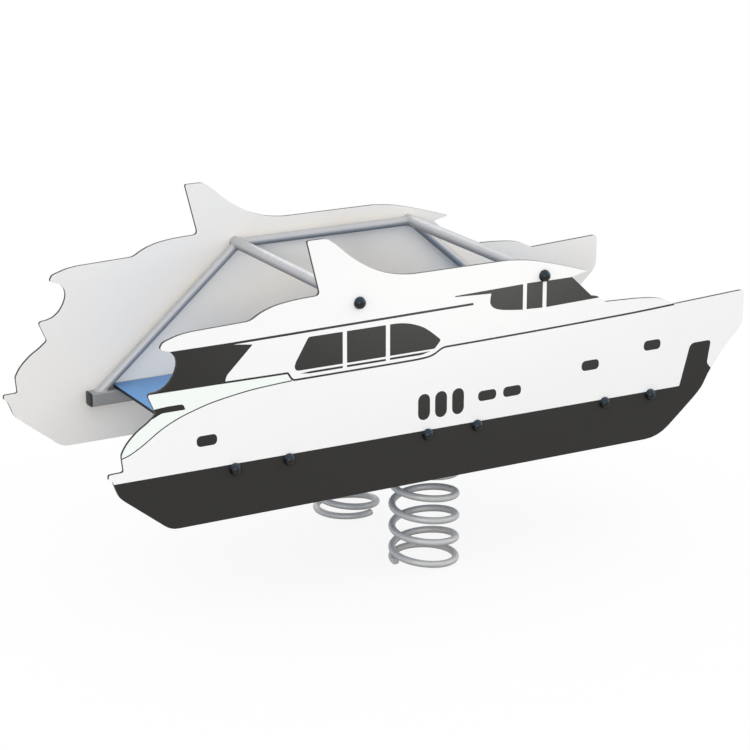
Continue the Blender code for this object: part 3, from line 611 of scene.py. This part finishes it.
def build_springs(paint):
    """Smooth round wire in the place of the straight lengths, cut flat on the ground."""
    plate_low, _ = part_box("starboard_head_plate")
    foot_z = WIRE_RADIUS - FOOT_FLAT
    head_z = plate_low.z - SEAT - WIRE_RADIUS
    turns = FOOT_TURNS + RISING_TURNS + HEAD_TURNS + 2 * LEAD_TURNS
    count = round(turns * WIRE_POINTS_PER_TURN)
    for side, sign in SIDES.items():
        start = math.radians(FOOT_START_DEG[side])
        path = []
        for n in range(count + 1):
            turn = turns * n / count - LEAD_TURNS
            angle = start - 2 * math.pi * turn
            across = Vector((math.cos(angle), math.sin(angle), 0)) * COIL_RADIUS
            height = wire_height(turn, foot_z, head_z)
            path.append(Vector((SPRING_X, sign * SPRING_Y, height)) + across)
        shape = bmesh.new()
        add_rings(shape, tube_rings(path, [WIRE_RADIUS] * len(path), WIRE_SIDES))
        for vert in shape.verts:
            vert.co.z = max(vert.co.z, 0.0)
        name = f"{side}_coil"
        mesh = finish_mesh(name, shape)
        coil = make_piece(name, mesh, paint, [f"{side}_spring"], rides=False)
        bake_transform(coil)


def middle_line(node, axis):
    """The ends of a node's middle line along one axis, and the node's height."""
    low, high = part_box(node)
    start = (low + high) / 2
    end = start.copy()
    start[axis] = low[axis]
    end[axis] = high[axis]
    return start, end, high.z - low.z


def corner_points(half, radius):
    """A square with round corners, about its middle."""
    points = []
    for quarter, (a, b) in enumerate(((1, 1), (-1, 1), (-1, -1), (1, -1))):
        for turn in arc(CORNER_STEPS):
            angle = quarter * math.pi / 2 + turn
            x = a * (half - radius) + radius * math.cos(angle)
            y = b * (half - radius) + radius * math.sin(angle)
            points.append((x, y))
    return points


def square_tube(name, start, end, size, steel, replaces):
    """A square tube with round corners, open through its length."""
    across = (end - start).normalized().cross(Z_AXIS)
    shape = bmesh.new()
    skins = []
    for inset in (0.0, RAIL_WALL):
        points = corner_points(size / 2 - inset, RAIL_CORNER - inset)
        rows = []
        for place in (start, end):
            rows.append([shape.verts.new(place + across * a + Z_AXIS * b) for a, b in points])
        add_band(shape, *rows)
        skins.append(rows)
    for outer, inner in zip(*skins):
        add_band(shape, outer, inner)
    make_piece(name, finish_mesh(name, shape), steel, replaces)


def build_frame_tubes(steel):
    """Rails and bearers, with rounder corners than the frame's own, and the bearers' welds."""
    beads = []
    for side in SIDES:
        name = f"{side}_rail"
        square_tube(f"{name}_tube", *middle_line(name, ALONG_X), steel, [name])
    for place in ("aft", "mid_aft", "mid_fore", "fore"):
        name = f"bearer_{place}"
        start, end, size = middle_line(name, ALONG_Y)
        square_tube(f"{name}_tube", start, end, size, steel, [name])
        for point in (start, end):
            corners = corner_points(size / 2, RAIL_CORNER)
            beads.append(([point + X_AXIS * a + Z_AXIS * b for a, b in corners], True))
    return beads


def build_handrails(steel):
    """The thick round tubes across the boat."""
    for place in ("aft", "fore"):
        start, end, height = middle_line(f"handrail_{place}", ALONG_Y)
        rings = [ring_round(at, X_AXIS, Z_AXIS, height / 2, TUBE_SIDES) for at in (start, end)]
        name = f"handrail_{place}_tube"
        mesh = mesh_from_rings(name, rings)
        make_piece(name, mesh, steel, [f"handrail_{place}"])


def side_runs(side, foot_z):
    """The middle lines of one side's tubes, from a handrail to their other ends."""
    low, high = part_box(f"{side}_rail")
    y = (low.y + high.y) / 2
    tops = {}
    for place in ("aft", "fore"):
        pipe_low, pipe_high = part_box(f"handrail_{place}")
        centre = (pipe_low + pipe_high) / 2
        tops[place] = Vector((centre.x, y, centre.z))
    foot_aft = Vector((low.x + DIAGONAL_FOOT_INSET, y, foot_z))
    foot_fore = Vector((high.x - DIAGONAL_FOOT_INSET, y, foot_z))
    return {
        "top_tube": (tops["aft"], tops["fore"]),
        "diagonal_aft": (tops["aft"], foot_aft),
        "diagonal_fore": (tops["fore"], foot_fore),
    }


def saddle_end(centre, toward, offset, pipe_radius):
    """Where a tube's edge line, at an offset from its middle, meets the handrail.

    The tube's middle line runs along toward, square to the handrail, from its centre.
    """
    reach = math.sqrt(pipe_radius**2 - offset.x**2 - offset.z**2)
    return centre + offset + toward * reach


def build_side_tubes(steel):
    """Top tubes and diagonals, fitted round the handrails and down onto the rails."""
    beads = []
    _, _, pipe_height = middle_line("handrail_aft", ALONG_Y)
    pipe_radius = pipe_height / 2 + SEAT
    for side in SIDES:
        _, rail_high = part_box(f"{side}_rail")
        foot_z = rail_high.z + SEAT
        for part, (top, other) in side_runs(side, foot_z).items():
            toward = (other - top).normalized()
            up = toward.cross(Y_AXIS)
            upper = []
            lower = []
            for offset in ring_round(Vector(), Y_AXIS, up, SIDE_TUBE_RADIUS, TUBE_SIDES):
                upper.append(saddle_end(top, toward, offset, pipe_radius))
                if part == "top_tube":
                    lower.append(saddle_end(other, -toward, offset, pipe_radius))
                else:
                    reach = (foot_z - top.z - offset.z) / toward.z
                    lower.append(top + offset + toward * reach)
            name = f"{side}_{part}"
            mesh = mesh_from_rings(f"{name}_fitted", [upper, lower], SADDLE_SHARP_DEG)
            make_piece(f"{name}_fitted", mesh, steel, [name])
            beads += [(upper, True), (lower, True)]
    return beads


def plate_welds():
    """The weld lines between the head plates and the two bearers that cross them."""
    beads = []
    for side in SIDES:
        plate_low, plate_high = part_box(f"{side}_head_plate")
        for place in ("mid_aft", "mid_fore"):
            low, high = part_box(f"bearer_{place}")
            for x in (low.x, high.x):
                start = Vector((x, plate_low.y, plate_high.z))
                end = Vector((x, plate_high.y, plate_high.z))
                beads.append(([start, end], False))
    return beads


def evenly(points, closed, spacing):
    """Points at an even spacing along a line of given points."""
    loop = points + [points[0]] if closed else points
    lengths = [(b - a).length for a, b in zip(loop, loop[1:])]
    total = sum(lengths)
    count = max(round(total / spacing), LEAST_WELD_POINTS)
    spread = []
    for n in range(count if closed else count + 1):
        reach = total * n / count
        k = 0
        while k < len(lengths) - 1 and reach > lengths[k]:
            reach -= lengths[k]
            k += 1
        spread.append(loop[k].lerp(loop[k + 1], min(reach / lengths[k], 1)))
    return spread


def build_welds(beads, steel):
    """Rippled weld beads along every joint of the frame.

    Each bead is given as a line of points, and whether the line closes on itself.
    """
    shape = bmesh.new()
    for points, closed in beads:
        path = evenly(points, closed, WELD_RIPPLE_PITCH / POINTS_PER_RIPPLE)
        radii = []
        for n in range(len(path)):
            ripple = WELD_RIPPLE * math.cos(2 * math.pi * n / POINTS_PER_RIPPLE)
            radii.append(WELD_RADIUS + ripple)
        add_rings(shape, tube_rings(path, radii, WELD_SIDES, closed), closed)
    mesh = finish_mesh("frame_welds", shape, WELD_SHARP_DEG)
    make_piece("frame_welds", mesh, steel)


def turned_rings(profile, sides):
    """Rings of a turned shape about Z, from a profile of radius and height."""
    return [ring_round(Z_AXIS * z, X_AXIS, Y_AXIS, radius, sides) for radius, z in profile]


def cap_profile(low, high, radius):
    """A bolt's shank under a flanged base and the round cover that snaps onto it."""
    rim = radius - CAP_EDGE
    profile = [(BOLT_RADIUS, low), (BOLT_RADIUS, 0.0)]
    for angle in arc(CAP_EDGE_STEPS):
        profile.append((rim + CAP_EDGE * math.sin(angle), CAP_EDGE - CAP_EDGE * math.cos(angle)))
    shoulder = CAP_BASE - CAP_EDGE
    for angle in arc(CAP_EDGE_STEPS):
        profile.append((rim + CAP_EDGE * math.cos(angle), shoulder + CAP_EDGE * math.sin(angle)))
    cover = radius - CAP_COVER_INSET
    seam = CAP_BASE + CAP_GROOVE
    profile.append((cover - CAP_GROOVE, CAP_BASE))
    profile.append((cover - CAP_GROOVE, seam))
    for angle in arc(CAP_DOME_STEPS, CAP_DOME_DEG):
        profile.append((cover * math.cos(angle), seam + (high - seam) * math.sin(angle)))
    return profile


def build_bolt_caps(plastic):
    """Round caps over the panel bolts, turned with a fine parting groove."""
    for name in sorted(name for name in nodes if "_panel_bolt_" in name):
        side, _, number = name.partition("_panel_bolt_")
        low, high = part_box(name)
        centre = (low + high) / 2
        inner, outer = sorted((abs(low.y), abs(high.y)))
        panel_low, panel_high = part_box(f"{side}_panel")
        seat = max(abs(panel_low.y), abs(panel_high.y)) + SEAT
        profile = cap_profile(inner - seat, outer - seat, (high.x - low.x) / 2)
        cap = f"{side}_bolt_cap_{number}"
        mesh = mesh_from_rings(cap, turned_rings(profile, CAP_SIDES), TURNED_SHARP_DEG)
        place = (centre.x, SIDES[side] * seat, centre.z)
        turn = (math.pi / 2, 0, math.pi if side == "port" else 0)
        make_piece(cap, mesh, plastic, [name], place, turn)


def add_hexagon(shape, size, low, high):
    """A hexagon nut or bolt head, its corners turned down at both faces."""
    chamfer = HEX_CHAMFER_SHARE * size
    face = size / 2 - chamfer / 2
    corner = size / 2 / math.cos(HEX_HALF_SIDE_ANGLE)
    side_angle = 2 * HEX_HALF_SIDE_ANGLE
    rings = []
    for reach, z in (
        (face, low),
        (corner, low + chamfer),
        (corner, high - chamfer),
        (face, high),
    ):
        ring = []
        for n in range(HEX_POINTS):
            angle = 2 * math.pi * n / HEX_POINTS
            from_middle = (angle + HEX_HALF_SIDE_ANGLE) % side_angle - HEX_HALF_SIDE_ANGLE
            radius = min(reach, size / 2 / math.cos(from_middle))
            ring.append(Vector((radius * math.cos(angle), radius * math.sin(angle), z)))
        rings.append(ring)
    add_rings(shape, rings)


def add_disc(shape, radius, low, high):
    """A washer or shank with its edges broken."""
    edge = min(DISC_EDGE, (high - low) / 3)
    profile = (
        (radius - edge, low),
        (radius, low + edge),
        (radius, high - edge),
        (radius - edge, high),
    )
    add_rings(shape, turned_rings(profile, DISC_SIDES))


def bent_strip(line, thickness, bend):
    """The outline of a strip of one thickness that follows a line, with round bends."""
    left = []
    right = []
    half = thickness / 2
    points = [Vector(point) for point in line]
    for n, point in enumerate(points):
        if n == 0 or n == len(points) - 1:
            run = points[1] - points[0] if n == 0 else points[-1] - points[-2]
            normal = Vector((-run.y, run.x)).normalized() * half
            left.append(point + normal)
            right.append(point - normal)
            continue
        into = (point - points[n - 1]).normalized()
        out = (points[n + 1] - point).normalized()
        side = 1 if into.x * out.y - into.y * out.x > 0 else -1
        radius = bend + half
        centre = point + (out - into) * radius
        first = Vector((into.y, -into.x)) * side
        last = Vector((out.y, -out.x)) * side
        for angle in arc(CLAMP_BEND_STEPS):
            spoke = first * math.cos(angle) + last * math.sin(angle)
            left.append(centre + spoke * (radius - side * half))
            right.append(centre + spoke * (radius + side * half))
    return left + right[::-1]


def build_clamps(zinc):
    """Bent strips that hold the springs' top turns up, with washers, bolts and nuts."""
    plate_low, plate_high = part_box("starboard_head_plate")
    top = plate_low.z - SEAT
    tab_z = top - CLAMP_THICKNESS / 2
    lip_z = top - 2 * WIRE_RADIUS - SEAT - CLAMP_THICKNESS / 2
    wall = COIL_RADIUS - WIRE_RADIUS - SEAT - CLAMP_THICKNESS / 2
    line = [
        (CLAMP_BOLT_FROM_AXIS - CLAMP_TAB_REACH, tab_z),
        (wall, tab_z),
        (wall, lip_z),
        (COIL_RADIUS + CLAMP_LIP_REACH, lip_z),
    ]
    outline = bent_strip(line, CLAMP_THICKNESS, CLAMP_BEND)
    for side, sign in SIDES.items():
        axis = Vector((SPRING_X, sign * SPRING_Y, 0))
        for n, turn in enumerate(CLAMP_TURNS, start=1):
            turned_by = 360 * (FOOT_TURNS + RISING_TURNS + turn)
            angle = math.radians(FOOT_START_DEG[side] - turned_by)
            outward = Vector((math.cos(angle), math.sin(angle), 0))
            aside = Vector((-math.sin(angle), math.cos(angle), 0))
            rings = []
            for shift in (-CLAMP_WIDTH / 2, CLAMP_WIDTH / 2):
                edge = axis + aside * shift
                rings.append([edge + outward * reach + Z_AXIS * z for reach, z in outline])
            node = f"{side}_clamp_{n}"
            mesh = mesh_from_rings(node, rings)
            piece = make_piece(f"{node}_bent", mesh, zinc, [node])
            round_edges(piece, CLAMP_EDGE)
            place = axis + outward * CLAMP_BOLT_FROM_AXIS
            bolt = f"{side}_clamp_bolt_{n}"
            build_clamp_bolt(bolt, place, top - CLAMP_THICKNESS, plate_high.z, zinc)


def build_clamp_bolt(node, place, under, over, zinc):
    """A bolt up through clamp and plate, with washers at both ends and a nut on top."""
    _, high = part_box(node)
    head_top = under - SEAT - CLAMP_WASHER
    nut_low = over + SEAT + CLAMP_WASHER
    nut_top = nut_low + CLAMP_BOLT_HEAD_HEIGHT
    shape = bmesh.new()
    add_disc(shape, CLAMP_BOLT_DIAMETER, head_top, under - SEAT)
    add_hexagon(shape, CLAMP_BOLT_HEAD_WIDTH, head_top - CLAMP_BOLT_HEAD_HEIGHT, head_top)
    add_disc(shape, CLAMP_BOLT_DIAMETER, over + SEAT, nut_low)
    add_hexagon(shape, CLAMP_BOLT_HEAD_WIDTH, nut_low, nut_top)
    add_disc(shape, CLAMP_BOLT_DIAMETER / 2, nut_top, high.z)
    name = f"{node}_set"
    mesh = finish_mesh(name, shape)
    make_piece(name, mesh, zinc, [node], (place.x, place.y, 0))


def build_deck_bolts(zinc):
    """Hexagon bolts with washers, up through the end bearers."""
    bearer_low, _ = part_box("bearer_aft")
    washer_top = bearer_low.z - SEAT
    head_top = washer_top - DECK_WASHER
    for node in sorted(node for node in nodes if node.startswith("deck_bolt_")):
        low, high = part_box(node)
        centre = (low + high) / 2
        shape = bmesh.new()
        add_disc(shape, DECK_BOLT_DIAMETER, head_top, washer_top)
        add_hexagon(shape, DECK_BOLT_HEAD_WIDTH, low.z - DECK_WASHER, head_top)
        name = f"{node}_set"
        mesh = finish_mesh(name, shape)
        make_piece(name, mesh, zinc, [node], (centre.x, centre.y, 0))


def round_edges(piece, width):
    """A small radius on a piece's edges."""
    bevel = piece.modifiers.new("rounded_edges", "BEVEL")
    bevel.width = width
    bevel.segments = EDGE_SEGMENTS
    bevel.limit_method = "ANGLE"
    bevel.angle_limit = math.radians(ROUNDED_FROM_DEG)


def smoothing_nodes():
    """A node group that shades smooth, apart from edges sharper than an angle."""
    group = bpy.data.node_groups.new("smooth_by_angle", "GeometryNodeTree")
    for way in ("INPUT", "OUTPUT"):
        group.interface.new_socket("Geometry", in_out=way, socket_type="NodeSocketGeometry")
    tree = Nodes(group)
    shape = tree.add("NodeGroupInput").outputs["Geometry"]
    turn = tree.add("GeometryNodeInputMeshEdgeAngle").outputs["Unsigned Angle"]
    angles = {"A": turn, "B": math.radians(CAD_SHARP_DEG)}
    compare = {"data_type": "FLOAT", "operation": "GREATER_THAN"}
    sharper = tree.add("FunctionNodeCompare", angles, **compare).outputs["Result"]
    smooth = tree.add("GeometryNodeSetShadeSmooth", {"Geometry": shape}, domain="FACE")
    inputs = {
        "Geometry": smooth.outputs["Geometry"],
        "Selection": sharper,
        "Shade Smooth": False,
    }
    edged = tree.add("GeometryNodeSetShadeSmooth", inputs, domain="EDGE")
    tree.add("NodeGroupOutput", {"Geometry": edged.outputs["Geometry"]})
    return group


def finish_node(name, materials, smoothing, edge=None):
    """Gives a carried-over node its finish, joined corners and, if wanted, rounded edges."""
    node = nodes[name]
    mesh = node.data
    mesh.materials.clear()
    for material in materials:
        mesh.materials.append(material)
    for attribute in ("custom_normal", "sharp_edge"):
        if attribute in mesh.attributes:
            mesh.attributes.remove(mesh.attributes[attribute])
    weld = node.modifiers.new("joined_corners", "WELD")
    weld.merge_threshold = CORNER_GAP
    if edge:
        round_edges(node, edge)
    smooth = node.modifiers.new("smooth_by_angle", "NODES")
    smooth.node_group = smoothing


def polygon_edges(corners):
    """The edges between a polygon's corners, the same from either end."""
    return [frozenset(pair) for pair in zip(corners, corners[1:] + corners[:1])]


def is_inside(x, z, corners):
    """Whether a point lies in a triangle, seen from the side."""
    turns = []
    for (ax, _, az), (bx, _, bz) in zip(corners, corners[1:] + corners[:1]):
        turns.append((bx - ax) * (z - az) - (bz - az) * (x - ax) >= 0)
    return all(turns) or not any(turns)


def tint_stern(name, face_y):
    """Gives the enclosed stern area of a panel's outer face the second material.

    It spreads from the triangle at one spot, over the edges that triangles share.
    """
    mesh = nodes[name].data
    corners = {}
    by_edge = {}
    for polygon in mesh.polygons:
        places = [mesh.vertices[v].co for v in polygon.vertices]
        if all(abs(place.y - face_y) < FACE_TOLERANCE for place in places):
            rounded = [tuple(round(c, PLACE_DIGITS) for c in place) for place in places]
            corners[polygon.index] = rounded
            for edge in polygon_edges(rounded):
                by_edge.setdefault(edge, []).append(polygon.index)
    reached = [index for index, places in corners.items() if is_inside(*TINTED_SPOT, places)]
    tinted = set(reached)
    while reached:
        for edge in polygon_edges(corners[reached.pop()]):
            for index in by_edge[edge]:
                if index not in tinted:
                    tinted.add(index)
                    reached.append(index)
    for index in tinted:
        mesh.polygons[index].material_index = 1


def finish_cad_nodes(materials):
    """Finishes of the nodes that are shown as they are."""
    smoothing = smoothing_nodes()
    for side, sign in SIDES.items():
        low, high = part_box(f"{side}_panel")
        face_y = high.y if sign > 0 else low.y
        finish_node(f"{side}_panel", [materials["white"], materials["mint"]], smoothing)
        tint_stern(f"{side}_panel", face_y)
        finish_node(f"{side}_head_plate", [materials["galvanised"]], smoothing, PLATE_EDGE)
        for end in ("aft", "fore"):
            cap = f"{side}_rail_cap_{end}"
            finish_node(cap, [materials["satin_black"]], smoothing, RAIL_CAP_EDGE)
    finish_node("deck", [materials["blue"]], smoothing, DECK_EDGE)


def build_floor():
    """A pale floor that looks as white as the backdrop, apart from the shadow on it."""
    mesh = bpy.data.meshes.new("floor")
    corners = []
    for x, y in ((-1, -1), (1, -1), (1, 1), (-1, 1)):
        corners.append((x * FLOOR_REACH, y * FLOOR_REACH, -SEAT))
    mesh.from_pydata(corners, [], [(0, 1, 2, 3)])
    floor = bpy.data.objects.new("floor", mesh)
    bpy.context.collection.objects.link(floor)

    material, tree = new_material("pale_floor")
    tree.clear()
    seen = tree.sees_background()
    grey = tree.mix(seen, FLOOR_GREY, FLOOR_PALE)
    shadowed = tree.add("ShaderNodeBsdfDiffuse", {"Color": grey})
    white = tree.add("ShaderNodeEmission", {"Color": WHITE, "Strength": BACKGROUND_STRENGTH})
    share = tree.between(tree.length(tree.place()), SHADOW_FADE_SPAN, SHADOW_WHITE_SHARES)
    seen_white = tree.math("MULTIPLY", seen, share)
    shaders = (shadowed.outputs["BSDF"], white.outputs["Emission"])
    tree.show("ShaderNodeOutputMaterial", seen_white, *shaders)
    mesh.materials.append(material)


def build_world():
    """A white surround to look at, and the even light from it."""
    world = bpy.data.worlds.new("studio")
    world.use_nodes = True
    bpy.context.scene.world = world
    tree = Nodes(world.node_tree)
    tree.clear()
    shaders = []
    for strength in (WORLD_STRENGTH, BACKGROUND_STRENGTH):
        shader = tree.add("ShaderNodeBackground", {"Color": WHITE, "Strength": strength})
        shaders.append(shader.outputs["Background"])
    tree.show("ShaderNodeOutputWorld", tree.sees_background(), *shaders)


def aimed_object(name, data, place, aim):
    """A lamp or camera at a place, turned to look at another."""
    thing = bpy.data.objects.new(name, data)
    thing.location = place
    thing.rotation_euler = (aim - thing.location).to_track_quat("-Z", "Y").to_euler()
    bpy.context.collection.objects.link(thing)
    return thing


def build_lights():
    """Soft lamps; most of the light comes from the white surround."""
    for name, (place, size, power) in SOFTBOXES.items():
        data = bpy.data.lights.new(name, "AREA")
        data.size = size
        data.energy = power
        aimed_object(name, data, place, SOFTBOX_AIM)


def build_camera():
    """The camera, at the photograph's viewing angle."""
    data = bpy.data.cameras.new("camera")
    data.lens = CAMERA_LENS_MM
    bpy.context.scene.camera = aimed_object("camera", data, CAMERA_PLACE, CAMERA_AIM)


materials = make_materials()
build_springs(materials["spring"])
# Rails and bearers take the darker copy of the zinc, which is painted shade
weld_lines = build_frame_tubes(materials["galvanised_painted_shade"])
build_handrails(materials["galvanised"])
weld_lines += build_side_tubes(materials["galvanised"])
weld_lines += plate_welds()
build_welds(weld_lines, materials["galvanised"])
build_bolt_caps(materials["gloss_black"])
build_clamps(materials["zinc"])
build_deck_bolts(materials["zinc"])
finish_cad_nodes(materials)

build_floor()
build_world()
build_lights()
build_camera()
bpy.context.scene.view_settings.view_transform = "Standard"
